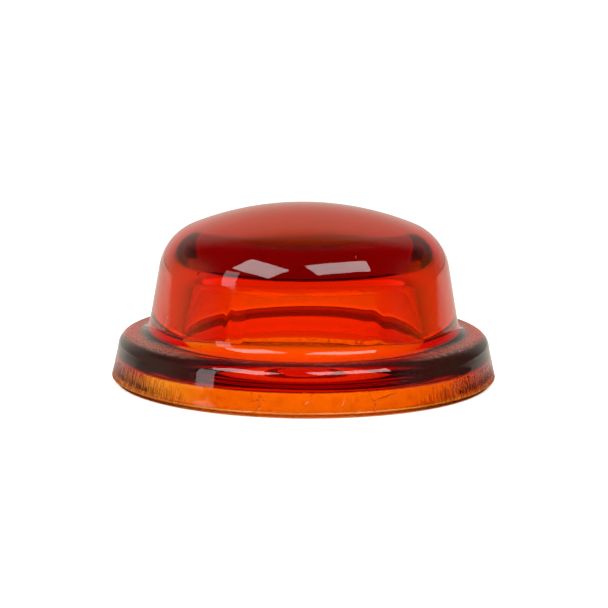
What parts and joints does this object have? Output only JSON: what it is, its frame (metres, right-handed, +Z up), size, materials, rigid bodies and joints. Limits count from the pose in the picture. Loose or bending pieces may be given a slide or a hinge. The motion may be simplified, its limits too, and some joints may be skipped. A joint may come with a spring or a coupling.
{
  "type": "flanged glass dome",
  "caption": "Thick pressed-glass dome with a drafted wall, shallow crown, hollow underside with a stepped mouth and a round flange to stand on or clamp by, in clear red-amber glass.",
  "frame": {"origin": "centre of the seat, the flat ring that the flange stands on", "axes": "+Z up along the dome's axis, from the seat to the crown; X and Y are across the flange and interchangeable"},
  "size_m": [0.09, 0.09, 0.0411],
  "materials": {
    "amber_glass": "polished pressed glass, tinted through, red-orange in the dome and amber at the seat"
  },
  "bodies": {
    "root": {"glass_dome": "amber_glass"}
  },
  "joints": []
}
